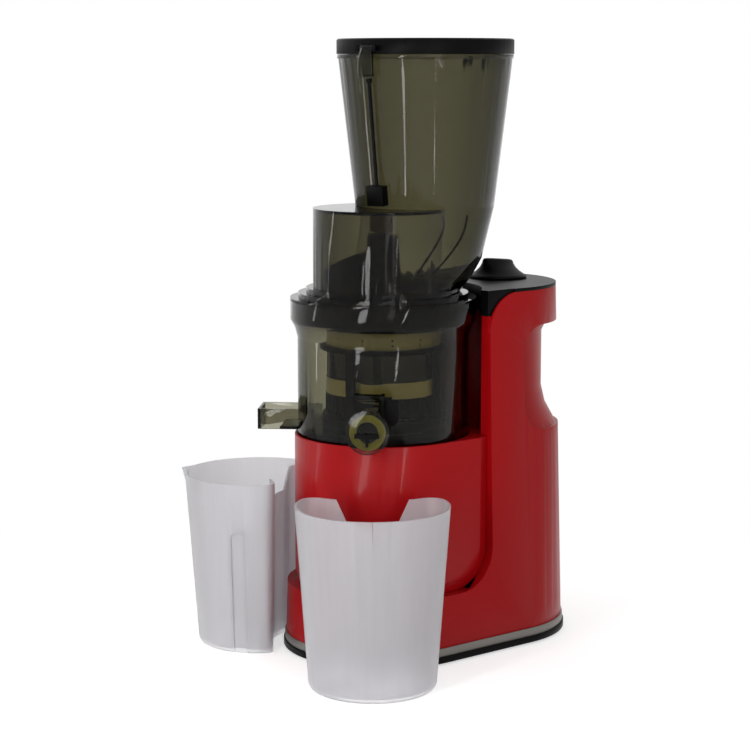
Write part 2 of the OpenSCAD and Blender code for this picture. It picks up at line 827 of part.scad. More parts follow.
module strainer_frame() color(amber) difference() {
    union() {
        disc(strainer_out, foot_top, foot_top + band_h);
        disc(strainer_out, flange_z - 18, flange_z);
        translate([0, 0, flange_z - 7]) cylinder(r1 = strainer_out, r2 = 46.8, h = 7);
        disc(flange_r, flange_z, flange_z + 2.4);
        for (a = [0:60:300]) rotate([0, 0, a + 15]) translate([sieve_in + sieve_wall + rest, -3, foot_top + band_h - e])
            cube([strainer_out - sieve_in - sieve_wall - rest, 6, flange_z - 18 - foot_top - band_h + 2 * e]);
    }
    disc(strainer_r, 0, far);
    for (a = [0:30:330]) for (i = [0, 1]) rotate([0, 0, a]) translate([strainer_out - 6, -0.9, flange_z - 15 + 4 * i])
        cube([12, 1.8, 1.8]);
    tube(sieve_in + sieve_wall + rest, strainer_r - 1, foot_top + band_h - 2, foot_top + band_h);
    tube(sieve_in + sieve_wall + rest, strainer_r - 1, flange_z - 18, flange_z - 16);
}

module strainer_mesh() color([0.20, 0.20, 0.19])
    tube(sieve_in + sieve_wall, sieve_in, foot_top + band_h - 1.9, flange_z - 16.1);

module strainer_base() color(black) difference() {
    union() {
        disc(strainer_out, base_z, foot_top);
        for (a = [0:12:348]) rotate([0, 0, a]) translate([strainer_out - 1, -1, base_z]) cube([1.7, 2, foot_top - base_z - 1]);
    }
    disc(strainer_r, base_z + 2, far);
    disc(13, 0, far);
    facing(-chute_turn) translate([-drop_w / 2, -drop_out, 0]) cube([drop_w, drop_out - 14, far]);
}

// Flights round the press screw
module flights(z0, h, twist, r, w, phase, starts) {
    translate([0, 0, z0]) rotate([0, 0, phase]) linear_extrude(h, twist = twist, slices = ceil(abs(twist) / 7), $fn = 8)
        for (i = [0:starts - 1]) rotate([0, 0, i * 360 / starts])
            translate([6, -w / 2]) square([sqrt(r * r - w * w / 4) - 6, w]);
}

module auger() color(black) difference() {
    union() {
        disc(screw_out - 0.4, screw_z, screw_z + 3);
        disc(11.5, mesh_z + mesh_h + rest, screw_z + e);
        translate([0, 0, screw_z + 3 - e]) cylinder(r1 = 25, r2 = 17, h = flange_z - screw_z);
        translate([0, 0, flange_z + 2]) cylinder(r1 = 17, r2 = 11, h = pin_z - flange_z - 2);
        disc(pin_r, pin_z - e, pin_z + 15);
        flights(screw_z + 2, 24, -150, screw_out, 6, 0, 3);
        flights(screw_z + 26 - e, 32, -110, screw_out, 5.5, 150, 3);
        flights(blade_z, 28, -100, blade_r, 6, 200, 1);
    }
    translate([0, 0, mesh_z]) linear_extrude(drive_top - mesh_z + 1) hexagon(hex_af + 0.16);
}

module auger_gear() color([0.86, 0.85, 0.80]) translate([0, 0, mesh_z]) linear_extrude(mesh_h) difference() {
    gear_2d(wiper_m, sun_n, 90);
    hexagon(hex_af + 0.16);
}

module wiper_idler() color([0.86, 0.85, 0.80]) translate([0, idler_y, mesh_z - 1.5]) difference() {
    union() {
        translate([0, 0, 1.5]) linear_extrude(mesh_h) gear_2d(wiper_m, idler_n, 180 / idler_n - 90);
        disc(5, 0, 1.5 + e);
    }
    disc(3 + slip, -e, far);
}

module wiper_cage() color(black) difference() {
    disc(cage_out, mesh_z, cage_top);
    translate([0, 0, mesh_z - e]) linear_extrude(mesh_h + 2 * e)
        gear_2d(wiper_m, ring_n, 90 + 180 / ring_n, play = -0.12, tip = 1.25, root = 1);
    disc(cage_in, mesh_z + mesh_h, far);
    // windows between the four posts
    difference() {
        disc(cage_out + 1, mesh_z + mesh_h, cage_top - 3.5);
        for (a = [20, 110]) rotate([0, 0, a]) translate([-far / 2, -3.5, 0]) cube([far, 7, far]);
    }
}

module wiper_blades() color([0.75, 0.20, 0.15]) for (a = [0:90:270]) rotate([0, 0, a + 20])
    translate([strainer_out + 1, -0.8, foot_top]) cube([cage_in - strainer_out - 1 - rest, 1.6, cage_top - foot_top]);

module spout_cap() color(smoke) facing(spout_turn) difference() {
    union() {
        translate([0, 0, spout_z]) rotate([90, 0, 0]) disc(cap_r, spout_end + 0.6, spout_end + 4.4);
        across(arm_w) {
            translate([-hinge_at, hinge_z]) circle(3.4);
            polygon([[-hinge_at, hinge_z + 3.4], [-spout_end - 2, hinge_z - 3], [-spout_end - 4.4, hinge_z - 7],
                [-spout_end - 4.4, spout_z + 8], [-spout_end - 0.6, spout_z + 8],
                [-spout_end + 0.4, spout_z + 12.5], [-hinge_at - 1, hinge_z - 3.3]]);
        }
    }
    translate([0, -hinge_at, hinge_z]) rotate([0, 90, 0])
        cylinder(r = pin_small + rest, h = 60, center = true);
    translate([0, 0, spout_z]) rotate([90, 0, 0]) disc(12.4 + rest, 0, spout_end + 2.4);
}

module spout_seal() color([0.62, 0.66, 0.12]) facing(spout_turn) translate([0, 0, spout_z])
    rotate([90, 0, 0]) tube(12.4, 7.5, spout_end + 0.4, spout_end + 2.4);

module spout_grip() color(black) facing(spout_turn) translate([0, -spout_end - 4.4, spout_z]) {
    translate([-8.5, -1.6, -3.6]) cube([17, 1.6, 3]);
    translate([-0.9, -1.6, -9.6]) cube([1.8, 1.6, 6 + e]);
}

module spout_pin() color(black) facing(spout_turn) translate([0, -hinge_at, hinge_z]) {
    rotate([0, 90, 0]) translate([0, 0, -11.5]) cylinder(r = pin_small, h = 24.5);
    // oval thumb lever
    translate([15.6, -1, -9]) rotate([90, 0, 0]) linear_extrude(3) {
        for (s = [-1, 1]) translate([0, 4.2 * s]) circle(4.6);
        translate([-4.6, -4.2]) square([9.2, 8.4]);
    }
    translate([11, -2.2, -6]) cube([4, 4.2, 7.5]);
}

// ---- hopper set ----

// Slanted channel behind the dome
module channel_form(inset) {
    points = concat(channel, [[dome_z, hopper_y]]);
    for (i = [0:len(points) - 2]) hull() for (j = [i, i + 1])
        translate([0, points[j][1], points[j][0] + (j == i ? inset : 0) * (i == 0 ? 1 : 0)])
            cylinder(r = dome_r - inset, h = e, $fn = 64);
}

module hopper_base() color(smoke) difference() {
    union() {
        disc(flange_r - gap, collar_z - 10, collar_z + gap + e);
        disc(collar_r, collar_z + gap, collar_z + 2);
        disc(collar_r - 5.8, collar_z + 2 - e, collar_z + 5.5);
        disc(collar_r - 11.5, collar_z + 5.5 - e, collar_z + 9);
        disc(dome_r, collar_z + 9 - e, dome_z);
        channel_form(0);
    }
    difference() {
        union() {
            disc(dome_in, collar_z + 2, dome_z - clear_wall);
            disc(flange_r - 5, collar_z - 11, collar_z + 2 + e);
            channel_form(clear_wall);
        }
        // roof over the press screw
        translate([-far / 2, -far / 2, dome_z - clear_wall]) cube([far, far / 2 + throat_y, far]);
        disc(9, pin_z + 2, far);
    }
    disc(pin_r + 3 + rest, pin_z, pin_z + 16);
    intersection() {
        translate([0, hopper_y, 0]) disc(dome_in, dome_z - 4, far);
        translate([-far / 2, throat_y, 0]) cube([far, far, far]);
    }
}

module auger_bush() color([0.75, 0.58, 0.30]) tube(pin_r + 3, pin_r + slip, pin_z + 2, pin_z + 16);

module hopper() color(smoke) translate([0, hopper_y, 0]) {
    difference() {
        union() {
            translate([0, 0, dome_z + rest]) cylinder(r1 = dome_r, r2 = hopper_r, h = hopper_z - dome_z - rest);
            disc(hopper_r + 0.5, hopper_z - 3, hopper_z);
        }
        translate([0, 0, dome_z - e]) cylinder(r1 = dome_in, r2 = hopper_r - clear_wall, h = hopper_z - dome_z + 2 * e);
    }
    facing(lid_turn) for (s = [-1, 1]) translate([s * 8.9 - 1.6, 0, 0]) rotate([90, 0, 90]) linear_extrude(3.2) difference() {
        union() {
            translate([hinge_y, hinge_lid_z]) circle(2.8);
            polygon([[hopper_r - 1.5, hopper_z - 12], [hopper_r - 0.5, hopper_z - 0.5],
                [hinge_y - 2.4, hopper_z - 0.2], [hinge_y - 2.75, hinge_lid_z],
                [hinge_y + 2.75, hinge_lid_z], [hinge_y + 2, hopper_z - 2]]);
        }
        translate([hinge_y, hinge_lid_z]) circle(pin_small + slip);
    }
}

module hopper_lid() color(black) translate([0, hopper_y, 0]) {
    difference() {
        union() {
            disc(lid_r, lid_z, lid_top - 1);
            translate([0, 0, lid_top - 1 - e]) cylinder(r1 = lid_r, r2 = lid_r - 1, h = 1 + e);
        }
        disc(lid_r - 2.6, lid_z - e, lid_top - 3);
    }
    facing(lid_turn) difference() {
        across(13.8) {
            translate([hinge_y, hinge_lid_z]) circle(3.4);
            polygon([[lid_r - 2, hinge_lid_z - 0.5], [hinge_y, hinge_lid_z - 0.5], [hinge_y, hinge_lid_z + 3.4],
                [lid_r - 2, hinge_lid_z + 7]]);
        }
        disc(lid_r - 2.6, lid_z - e, lid_top - 3);
        translate([0, hinge_y, hinge_lid_z]) rotate([0, 90, 0]) cylinder(r = pin_small + rest, h = 40, center = true);
    }
    // lugs of the latch
    facing(lid_turn) for (s = [-1, 1]) difference() {
        translate([s * 7.6 - 1.4, -latch_y - 2, latch_z - 2]) cube([2.8, 5.5, 4]);
        translate([0, -latch_y, latch_z]) rotate([0, 90, 0]) cylinder(r = 1.05, h = 40, center = true);
    }
}

module lid_pin() color(steel) translate([0, hopper_y, 0]) facing(lid_turn)
    translate([0, hinge_y, hinge_lid_z]) rotate([0, 90, 0]) cylinder(r = pin_small, h = 22, center = true);

module lid_latch() color(black) translate([0, hopper_y, 0]) facing(lid_turn) {
    translate([0, -latch_y, latch_z]) rotate([0, 90, 0]) cylinder(r = 1, h = 17, center = true);
    translate([-5.8, -latch_y - 2, latch_low]) cube([11.6, 2, latch_z - latch_low]);
    translate([0, -latch_y, latch_z]) rotate([0, 90, 0]) cylinder(r = 2, h = 11.6, center = true);
    translate([-5.8, -latch_y - 1, latch_low]) cube([11.6, 2.4, 1.8]);
}

module on_wall() {
    translate([0, hopper_y, 0]) facing(lid_turn)
        translate([0, -dome_r - (bracket_z - dome_z) * tan(slope), bracket_z]) rotate([slope, 0, 0])
            translate([0, -0.05, 0]) children();
}

module interlock_rod() color(black) on_wall() translate([0, -rod_out, 0]) {
    disc(rod_r, 7, rod_len);
    disc(2, 7, 9);
    disc(2.2, rod_len - 3, rod_len);
}

module rod_bracket() color(black) on_wall() difference() {
    translate([-7, -rod_out - 3.4, 0]) cube([14, rod_out + 3.4, bracket_h]);
    translate([0, -rod_out, 0]) disc(2.2, 1.5, 10.5);
    translate([0, -rod_out, 0]) disc(rod_r + slip, 5, far);
}

module rod_spring() color(steel) on_wall() translate([0, -rod_out, 0])
    for (i = [0:3]) tube(1.9, 1.3, 1.6 + 1.4 * i, 2.6 + 1.4 * i);

// ---- cups ----

// The back of the cups is a shallow hollow, joined to the round front by two small corners
hollow_y = cup_back - 8 + cup_hollow_r;
corner_y = (pow(cup_r - cup_corner_r, 2) - pow(cup_hollow_r + cup_corner_r, 2) + pow(hollow_y, 2)) / 2 / hollow_y;
corner_x = sqrt(pow(cup_r - cup_corner_r, 2) - pow(corner_y, 2));
function arc(x, y, r, a0, a1, steps) = [for (i = [0:steps]) let(a = a0 + (a1 - a0) * i / steps)
    [x + r * cos(a), y + r * sin(a)]];

module cup_outline(inset) {
    a1 = atan2(corner_y, corner_x);
    a2 = atan2(hollow_y - corner_y, -corner_x);
    polygon(concat(arc(0, 0, cup_r - inset, 180 - a1, 360 + a1, 48),
        arc(corner_x, corner_y, cup_corner_r - inset, a1, a2, 8),
        arc(0, hollow_y, cup_hollow_r + inset, a2 - 180, -a2, 10),
        arc(-corner_x, corner_y, cup_corner_r - inset, 180 - a2, 180 - a1, 8)));
}

function cup_share(z) = cup_taper + (1 - cup_taper) * z / cup_h;

module cup_form(inset, z0, z1) {
    translate([0, 0, z0]) linear_extrude(z1 - z0, scale = cup_share(z1) / cup_share(z0))
        scale(cup_share(z0)) cup_outline(inset);
}

// Upright recesses in the sides, under the rim
module cup_grooves(grow) {
    lean = atan(cup_r * (1 - cup_taper) / cup_h);
    for (s = [-1, 1]) rotate([0, 0, s * groove_turn]) translate([0, -cup_r * cup_taper, 0]) rotate([lean, 0, 0])
        translate([0, groove_d + grow, 0]) rotate([90, 0, 0]) linear_extrude(20) {
            translate([0, groove_z]) circle(groove_w / 2 + grow);
            translate([-groove_w / 2 - grow, -10]) square([groove_w + 2 * grow, groove_z + 10]);
        }
}

// Ring that rounds off the foot of the cups' front
module cup_foot_edge() {
    r = cup_r * cup_taper;
    rotate_extrude() polygon([[r - 2.6, -e], [r - 1.1, 0.9], [r - 0.2, 2.4], [r + 0.6, 4.6], [r + 8, 4.6], [r + 8, -e]]);
}

module cup_lip(inset) {
    hull() {
        translate([0, -cup_r - 4.5 + inset * 1.6, cup_h - e]) cylinder(r = 1, h = e + inset, $fn = 16);
        for (s = [-1, 1]) translate([s * (13 - inset), -cup_r + 3 + inset, cup_h - e])
            cylinder(r = 1, h = e + inset, $fn = 16);
        translate([0, 2 + inset - cup_r * cup_share(cup_h - 30), cup_h - 30]) cylinder(r = 1, h = e, $fn = 16);
    }
}

module cup() color([0.90, 0.90, 0.92, 0.7]) difference() {
    union() {
        cup_form(0, 0, cup_h);
        cup_lip(0);
    }
    difference() {
        cup_form(cup_wall, 3, cup_h + 1);
        cup_grooves(cup_wall);
    }
    cup_grooves(0);
    cup_foot_edge();
    cup_lip(cup_wall);
    translate([0, far / 2, cup_h - 17]) rotate([90, 0, 0]) linear_extrude(far / 2)
        polygon([[-17, 0], [17, 0], [25, 17 + e], [-25, 17 + e]]);
}

module juice_cup() facing(juice_cup_dir) translate([0, -juice_cup_out, 0]) rotate([0, 0, juice_cup_turn - juice_cup_dir]) cup();

module pulp_cup() facing(pulp_cup_dir) translate([0, -pulp_cup_out, 0]) rotate([0, 0, pulp_cup_turn - pulp_cup_dir]) cup();

base_plate();
rubber_feet();
base_screws();
trim_band();
front_shell();
rear_shell();
column_cap();
bowl_seat();
shaft_seal();
lock_switch();
gearbox_case();
gearbox_cover();
gearbox_screws();
shaft_bushes();
motor_stator();
motor_coils();
motor_frame();
motor_dampers();
rotary_switch();
control_board();
cord_inlet();
motor_shaft();
rotor_core();
cooling_fan();
motor_pinion();
layshaft();
layshaft_gear();
output_gear();
drive_shaft();
control_knob();
switch_spindle();
juice_bowl();
bowl_spout();
pulp_duct();
pulp_chute();
bowl_seal();
strainer_frame();
strainer_mesh();
strainer_base();
auger();
auger_gear();
wiper_idler();
wiper_cage();
wiper_blades();
spout_cap();
spout_seal();
spout_grip();
spout_pin();
hopper_base();
auger_bush();
hopper();
hopper_lid();
lid_pin();
lid_latch();
interlock_rod();
rod_bracket();
rod_spring();
juice_cup();
pulp_cup();
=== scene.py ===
# %% [markdown]
# # A cold press juicer and its two cups
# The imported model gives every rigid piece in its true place. This lesson loads it, gives each piece
# its finish, and models in finer detail some pieces that the eye rests on: the bowl and the strainer
# in it, the ribs of the feed channel, the latch, the spout cap, the knob and the rim of a cup.

# %% Load the frame
import json
from math import cos, pi, radians, sin

import bmesh
import bpy
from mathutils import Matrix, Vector


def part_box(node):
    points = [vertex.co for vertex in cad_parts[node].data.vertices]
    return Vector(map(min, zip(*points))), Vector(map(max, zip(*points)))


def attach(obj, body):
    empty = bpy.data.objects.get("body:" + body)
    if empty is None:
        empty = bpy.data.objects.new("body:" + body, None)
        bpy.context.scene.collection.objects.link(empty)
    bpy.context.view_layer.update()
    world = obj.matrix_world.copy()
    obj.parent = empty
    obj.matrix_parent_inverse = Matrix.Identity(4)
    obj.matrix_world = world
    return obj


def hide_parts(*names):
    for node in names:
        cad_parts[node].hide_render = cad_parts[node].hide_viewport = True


MM = 0.001
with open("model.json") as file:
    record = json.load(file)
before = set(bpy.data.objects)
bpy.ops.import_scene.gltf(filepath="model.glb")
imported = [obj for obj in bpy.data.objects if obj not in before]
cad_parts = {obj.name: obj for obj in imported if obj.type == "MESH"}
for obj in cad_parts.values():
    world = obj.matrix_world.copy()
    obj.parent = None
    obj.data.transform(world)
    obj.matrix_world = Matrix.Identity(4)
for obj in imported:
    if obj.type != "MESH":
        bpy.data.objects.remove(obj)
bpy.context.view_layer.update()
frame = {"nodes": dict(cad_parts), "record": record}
nodes = frame["nodes"]
print("nodes in the frame:", len(nodes))


def add_object(title, data):
    """Makes an object of this mesh, curve, lamp or camera and puts it into the scene."""
    item = bpy.data.objects.new(title, data)
    bpy.context.scene.collection.objects.link(item)
    return item


# %% [markdown]
# ## Camera
# A long lens a metre and a half away, to the right of the front and almost as high as the hopper's
# rim, tilted down a little. So long a lens keeps the uprights nearly parallel, and the lens isn't
# shifted, so that every other view stays centred too.

# %% Camera
camera_azimuth = radians(50.86)
camera_distance = 1.449
camera_height = 0.4218
camera_tilt = radians(8.735)
camera_turn = radians(0.232)
focal_px = 2030
frame_px = 750
sensor_mm = 36

camera_data = bpy.data.cameras.new("studio_camera")
camera_data.sensor_width = sensor_mm
camera_data.lens = focal_px / frame_px * sensor_mm
camera = add_object("studio_camera", camera_data)
ahead = Vector((-sin(camera_azimuth), cos(camera_azimuth), 0))
camera.location = -ahead * camera_distance + Vector((0, 0, camera_height))
camera.rotation_euler = (pi / 2 - camera_tilt, 0, camera_azimuth + camera_turn)
bpy.context.scene.camera = camera
print("lens in mm:", round(camera_data.lens, 1))

# %% [markdown]
# ## Materials
# Moulded plastic is never quite even: its gloss drifts from place to place and a fine grain is left
# by the mould. One helper makes a Principled material and sets its constant sockets, and one node
# group makes grain, drift of gloss and drift of tone for all of them, so each is tuned in one place.

# %% Helpers for a plain material
finishes = {}


def rgb(red, green, blue):
    """Colour as it looks on a screen, from 0 to 255, turned into the linear values of a shader."""
    def linear(value):
        # the constants of the sRGB standard's curve
        share = value / 255
        return share / 12.92 if share <= 0.04045 else ((share + 0.055) / 1.055) ** 2.4
    return (linear(red), linear(green), linear(blue), 1)


def new_material(name, **sockets):
    """A Principled material, kept under its name. A socket is given as, say, coat_weight=0.06."""
    material = bpy.data.materials.new(name)
    material.use_nodes = True
    shader = material.node_tree.nodes["Principled BSDF"]
    for key, value in sockets.items():
        label = key.replace("_", " ").title().replace("Ior", "IOR")
        shader.inputs[label].default_value = value
    finishes[name] = material
    return material


def mix_base_color(material, mask, low, high):
    """Runs the base colour from low to high as the mask runs from 0 to 1."""
    tree = material.node_tree
    tone = tree.nodes.new("ShaderNodeMix")
    tone.data_type = "RGBA"
    tone.inputs["A"].default_value = low
    tone.inputs["B"].default_value = high
    tree.links.new(mask, tone.inputs["Factor"])
    tree.links.new(tone.outputs["Result"], tree.nodes["Principled BSDF"].inputs["Base Color"])


# %% Group: grain and drift of a moulding
grain_detail = 4
drift_scale = 22
drift_detail = 3


def grain_group():
    """Height is the grain. Roughness is Rough plus Spread times the drift, and Tone is the drift."""
    group = bpy.data.node_groups.new("moulded_grain", "ShaderNodeTree")
    for label in ("Scale", "Rough", "Spread"):
        group.interface.new_socket(label, in_out="INPUT", socket_type="NodeSocketFloat")
    for label in ("Height", "Roughness", "Tone"):
        group.interface.new_socket(label, in_out="OUTPUT", socket_type="NodeSocketFloat")
    tree = group.nodes
    enter = tree.new("NodeGroupInput")
    leave = tree.new("NodeGroupOutput")
    place = tree.new("ShaderNodeTexCoord")
    grain = tree.new("ShaderNodeTexNoise")
    grain.inputs["Detail"].default_value = grain_detail
    drift = tree.new("ShaderNodeTexNoise")
    drift.inputs["Scale"].default_value = drift_scale
    drift.inputs["Detail"].default_value = drift_detail
    gloss = tree.new("ShaderNodeMath")
    gloss.operation = "MULTIPLY_ADD"
    group.links.new(place.outputs["Object"], grain.inputs["Vector"])
    group.links.new(place.outputs["Object"], drift.inputs["Vector"])
    group.links.new(enter.outputs["Scale"], grain.inputs["Scale"])
    group.links.new(drift.outputs["Fac"], gloss.inputs[0])
    group.links.new(enter.outputs["Spread"], gloss.inputs[1])
    group.links.new(enter.outputs["Rough"], gloss.inputs[2])
    group.links.new(grain.outputs["Fac"], leave.inputs["Height"])
    group.links.new(gloss.outputs["Value"], leave.inputs["Roughness"])
    group.links.new(drift.outputs["Fac"], leave.inputs["Tone"])
    return group


moulded_grain = grain_group()
print("group outputs:", [socket.name for socket in moulded_grain.interface.items_tree][-3:])

# %% Laying the grain on a material
grain_depth = 0.1 * MM


def lay_grain(material, scale, relief, depth):
    """Places the group in a material, lets its height drive a bump, and returns it."""
    tree = material.node_tree
    grain = tree.nodes.new("ShaderNodeGroup")
    grain.node_tree = moulded_grain
    grain.inputs["Scale"].default_value = scale
    bump = tree.nodes.new("ShaderNodeBump")
    bump.inputs["Strength"].default_value = relief
    bump.inputs["Distance"].default_value = depth
    tree.links.new(grain.outputs["Height"], bump.inputs["Height"])
    tree.links.new(bump.outputs["Normal"], tree.nodes["Principled BSDF"].inputs["Normal"])
    return grain


def grained(name, colour, scale, rough, spread, relief, fade=0.0, **sockets):
    """A finish whose grain drives bump and roughness, and where fade isn't 0 the colour as well."""
    material = new_material(name, base_color=colour, **sockets)
    tree = material.node_tree
    grain = lay_grain(material, scale, relief, grain_depth)
    grain.inputs["Rough"].default_value = rough
    grain.inputs["Spread"].default_value = spread
    tree.links.new(grain.outputs["Roughness"], tree.nodes["Principled BSDF"].inputs["Roughness"])
    if fade:
        faded = tuple(channel * (1 - fade) for channel in colour[:3]) + (1,)
        mix_base_color(material, grain.outputs["Tone"], colour, faded)
    return material


# %% [markdown]
# ### Painted and moulded finishes
# The red shells are glossy mouldings, so their grain is fine and shallow and a thin coat lies on
# top. The black pieces are spark-eroded: a coarser grain and a duller surface. The reflections are
# kept low, because everything round the object is white and would wash the colours out.

# %% Opaque finishes
grained("red_gloss", rgb(160, 8, 14), scale=900, rough=0.3, spread=0.1, relief=0.05, fade=0.12,
        specular_ior_level=0.1, coat_weight=0.06, coat_roughness=0.06)
grained("black_moulded", rgb(7, 7, 8), scale=2400, rough=0.34, spread=0.14, relief=0.12, fade=0.3,
        specular_ior_level=0.06)
grained("black_gloss", rgb(8, 8, 9), scale=1800, rough=0.16, spread=0.1, relief=0.04, fade=0.3,
        specular_ior_level=0.1)
grained("rubber_dark", rgb(26, 26, 26), scale=1200, rough=0.7, spread=0.12, relief=0.2, fade=0.2,
        specular_ior_level=0.3)
grained("board_green", rgb(24, 88, 52), scale=1500, rough=0.4, spread=0.1, relief=0.05, fade=0.2)
grained("gear_white", rgb(224, 220, 206), scale=1500, rough=0.45, spread=0.1, relief=0.05, fade=0.08,
        subsurface_weight=0.1)
grained("silicone_red", rgb(104, 22, 18), scale=900, rough=0.5, spread=0.1, relief=0.1, fade=0.15)
grained("silicone_lime", rgb(164, 158, 40), scale=900, rough=0.42, spread=0.12, relief=0.1, fade=0.15,
        specular_ior_level=0.4)
print("opaque finishes:", len(finishes))

# %% Metal finishes
grained("silver_trim", rgb(122, 119, 114), scale=1500, rough=0.32, spread=0.14, relief=0.06, fade=0.12,
        metallic=0.35, specular_ior_level=0.4)
grained("steel", rgb(176, 176, 178), scale=1600, rough=0.26, spread=0.14, relief=0.05, fade=0.1,
        metallic=1.0)
grained("cast_alloy", rgb(150, 150, 150), scale=900, rough=0.5, spread=0.15, relief=0.3, fade=0.2,
        metallic=1.0)
grained("bronze", rgb(176, 134, 76), scale=900, rough=0.42, spread=0.12, relief=0.2, fade=0.2,
        metallic=1.0)
grained("copper_wire", rgb(178, 96, 54), scale=700, rough=0.35, spread=0.15, relief=0.4, fade=0.25,
        metallic=0.8)
print("with the metals:", len(finishes))

# %% [markdown]
# ### Clear and frosted finishes
# The bowl, dome and hopper are clear plastic coloured in the mass, so the smoky tone has to grow
# with the thickness that the light passes: a wall seen edge on is almost black. Colouring the
# surface alone would give an even film, so the tone comes from absorption inside the piece, and a
# painted shade darkens the base colour where the surface turns away from the view. Light
# is bent less than in the real plastic, which keeps the reflections of the white room weak.

# %% Clear finishes
rim_shade_start = 0.45
clear_surface = (0.97, 0.97, 0.95, 1)
# the painted shade that clear plastic takes where its surface turns away from the view
painted_rim_shade = (0.02, 0.02, 0.018, 1)
clear_ior = 1.25
wave_scale = 30
wave_relief = 0.04
wave_depth = 0.2 * MM
smoke_tint = (0.24, 0.22, 0.04, 1)
amber_tint = (0.80, 0.70, 0.30, 1)


def tint_inside(material, colour, density):
    """Absorbs light along its way through the piece, by the metre."""
    tree = material.node_tree
    inside = tree.nodes.new("ShaderNodeVolumeAbsorption")
    inside.inputs["Color"].default_value = colour
    inside.inputs["Density"].default_value = density
    tree.links.new(inside.outputs["Volume"], tree.nodes["Material Output"].inputs["Volume"])


def paint_rim_shade(material, surface, rim_shade):
    """Painted shade: clear plastic looks darker where its surface turns away, so there the base colour
    falls.
    """
    tree = material.node_tree
    weight = tree.nodes.new("ShaderNodeLayerWeight")
    weight.inputs["Blend"].default_value = 0.5
    ramp = tree.nodes.new("ShaderNodeMapRange")
    ramp.interpolation_type = "SMOOTHSTEP"
    ramp.inputs["From Min"].default_value = rim_shade_start
    ramp.inputs["From Max"].default_value = 1.0
    tree.links.new(weight.outputs["Facing"], ramp.inputs["Value"])
    # painted shade: the base colour runs to the dark rim colour as the surface turns away
    mix_base_color(material, ramp.outputs["Result"], surface, rim_shade)


def smoky(name, density):
    """Clear plastic, perfectly glossy, with faint waves in its wall, a painted shade at its rims and a
    smoky tone inside.
    """
    material = new_material(name, base_color=clear_surface, roughness=0.0,
                            transmission_weight=1.0, ior=clear_ior)
    lay_grain(material, wave_scale, wave_relief, wave_depth)
    paint_rim_shade(material, clear_surface, painted_rim_shade)
    tint_inside(material, smoke_tint, density)


smoky("smoke_clear", density=400)
smoky("smoke_deep", density=700)
smoky("smoke_light", density=280)
amber = grained("amber_clear", rgb(236, 222, 160), scale=800, rough=0.2, spread=0.1, relief=0.05,
                fade=0.1, transmission_weight=0.3, ior=1.38)
tint_inside(amber, amber_tint, density=60)
print("with the clear plastics:", len(finishes))

# %% [markdown]
# The cups are milky plastic with faint upright streaks of a painted reflection, which a noise gives
# that is stretched along the height.

# %% Frosted plastic with painted reflection streaks
reflection_streak_scale = 260
reflection_streak_detail = 3
reflection_streak_stretch = 0.04
reflection_streak_contrast = 0.05


def frosted(name, colour):
    """Milky plastic whose tone runs a little darker and lighter in upright streaks, a painted reflection.
    """
    material = grained(name, colour, scale=1100, rough=0.3, spread=0.1, relief=0.12,
                       transmission_weight=0.66, ior=1.25, specular_ior_level=0.4)
    tree = material.node_tree
    place = tree.nodes.new("ShaderNodeTexCoord")
    stretch = tree.nodes.new("ShaderNodeMapping")
    stretch.inputs["Scale"].default_value = (1, 1, reflection_streak_stretch)
    painted_streak = tree.nodes.new("ShaderNodeTexNoise")
    painted_streak.inputs["Scale"].default_value = reflection_streak_scale
    painted_streak.inputs["Detail"].default_value = reflection_streak_detail
    tree.links.new(place.outputs["Object"], stretch.inputs["Vector"])
    tree.links.new(stretch.outputs["Vector"], painted_streak.inputs["Vector"])
    # the painted reflection: upright streaks a little darker and lighter than the colour
    darker = tuple(channel * (1 - reflection_streak_contrast) for channel in colour[:3]) + (1,)
    lighter = tuple(min(channel * (1 + reflection_streak_contrast), 1) for channel in colour[:3]) + (1,)
    mix_base_color(material, painted_streak.outputs["Fac"], darker, lighter)


frosted("frosted_white", rgb(231, 230, 233))
print("with the cups' plastic:", len(finishes))

# %% [markdown]
# The sieve is a sheet of dark steel with thousands of fine holes. Cutting them would cost far more
# faces than the eye could tell apart, so rows of dots are drawn by the material instead: the
# height up the wall and the way round it are each cut into short steps.

# %% Perforated sheet
sheet_grey = rgb(58, 56, 52)
hole_black = rgb(4, 4, 4)
sieve_radius = 39.5 * MM
hole_pitch = 1.6 * MM
hole_share = 0.24  # a hole's radius as a share of the pitch


def perforated(name, pitch, radius):
    """Round holes at this pitch on a sheet bent to this radius about the upright axis."""
    material = new_material(name, base_color=sheet_grey, metallic=0.7, roughness=0.4)
    tree = material.node_tree
    place = tree.nodes.new("ShaderNodeTexCoord")
    split = tree.nodes.new("ShaderNodeSeparateXYZ")
    tree.links.new(place.outputs["Object"], split.inputs["Vector"])

    def maths(operation, first, second=None):
        node = tree.nodes.new("ShaderNodeMath")
        node.operation = operation
        for socket, value in zip(node.inputs, (first, second)):
            if isinstance(value, (int, float)):
                socket.default_value = value
            elif value is not None:
                tree.links.new(value, socket)
        return node.outputs["Value"]

    around = maths("MULTIPLY", maths("ARCTAN2", split.outputs["Y"], split.outputs["X"]), radius)
    across = maths("PINGPONG", around, pitch / 2)
    up = maths("PINGPONG", split.outputs["Z"], pitch / 2)
    reach = maths("SQRT", maths("ADD", maths("MULTIPLY", across, across), maths("MULTIPLY", up, up)))
    hole = maths("LESS_THAN", reach, pitch * hole_share)
    mix_base_color(material, hole, sheet_grey, hole_black)


perforated("sieve_steel", hole_pitch, sieve_radius)
print("with the sieve:", len(finishes))

# %% [markdown]
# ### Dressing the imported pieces
# A finish has the name of the slot that it serves, so each node gets the finish of its slot. Three
# clear pieces have walls that look deeper in tone than the bowl's, and the sieve has its own sheet.

# %% Every node gets the finish of its slot
slot_of = {part["node"]: part["material_slot"] for part in frame["record"]["subparts"]}


